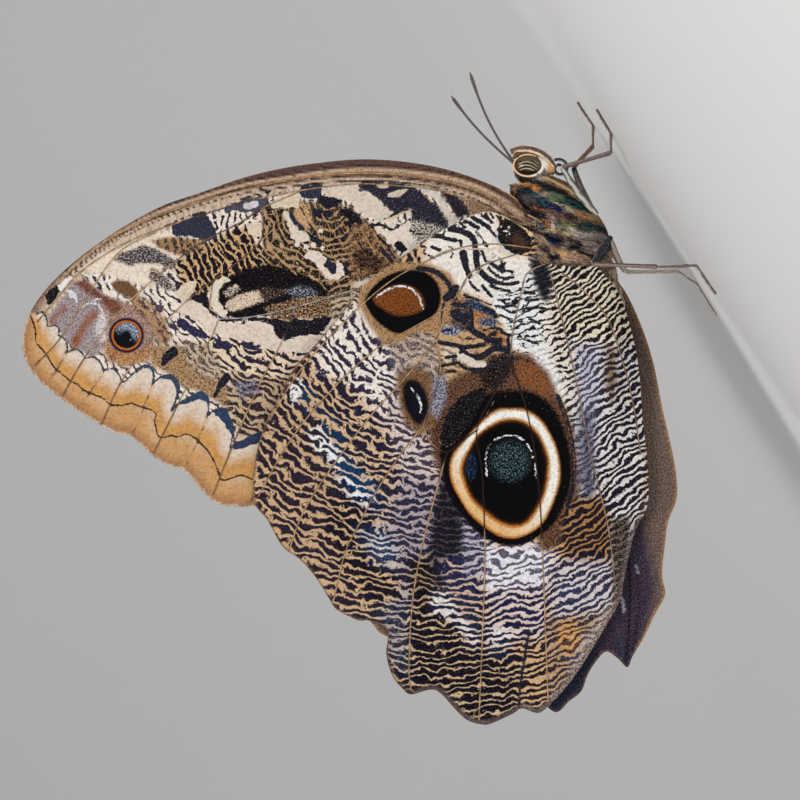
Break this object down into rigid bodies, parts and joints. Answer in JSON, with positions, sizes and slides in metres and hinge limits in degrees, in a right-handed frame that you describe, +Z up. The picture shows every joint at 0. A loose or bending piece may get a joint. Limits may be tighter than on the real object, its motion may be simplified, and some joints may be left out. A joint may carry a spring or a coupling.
{
  "type": "owl butterfly model",
  "caption": "Life-size still model of an owl butterfly at rest, wings closed over its back, standing on its four walking legs.",
  "frame": {"origin": "middle of the bounding box's footprint, on the floor plane under the feet", "axes": "+X toward the head, +Y toward the animal's left side, +Z up"},
  "size_m": [0.0968, 0.0294, 0.0918],
  "materials": {
    "body_fur": "short soft hair and scales, mottled brown, cream and blue-green",
    "leg_horn": "dark brown horn with fine pale scales",
    "eye_facets": "glossy facets with pale bands",
    "wing_scales": "matt powdery scales, rippled brown, black, cream and blue-grey with eyespots"
  },
  "bodies": {
    "root": {"abdomen": "body_fur", "antenna_l": "leg_horn", "antenna_r": "leg_horn", "eye_l": "eye_facets", "eye_r": "eye_facets", "foreleg_l": "body_fur", "foreleg_r": "body_fur", "forewing_l": "wing_scales", "forewing_r": "wing_scales", "head": "body_fur", "hindleg_l_femur": "leg_horn", "hindleg_l_tarsus": "leg_horn", "hindleg_l_tibia": "leg_horn", "hindleg_r_femur": "leg_horn", "hindleg_r_tarsus": "leg_horn", "hindleg_r_tibia": "leg_horn", "hindwing_l": "wing_scales", "hindwing_r": "wing_scales", "midleg_l_femur": "leg_horn", "midleg_l_tarsus": "leg_horn", "midleg_l_tibia": "leg_horn", "midleg_r_femur": "leg_horn", "midleg_r_tarsus": "leg_horn", "midleg_r_tibia": "leg_horn", "palp_l": "body_fur", "palp_r": "body_fur", "proboscis": "leg_horn", "thorax": "body_fur"}
  },
  "joints": []
}
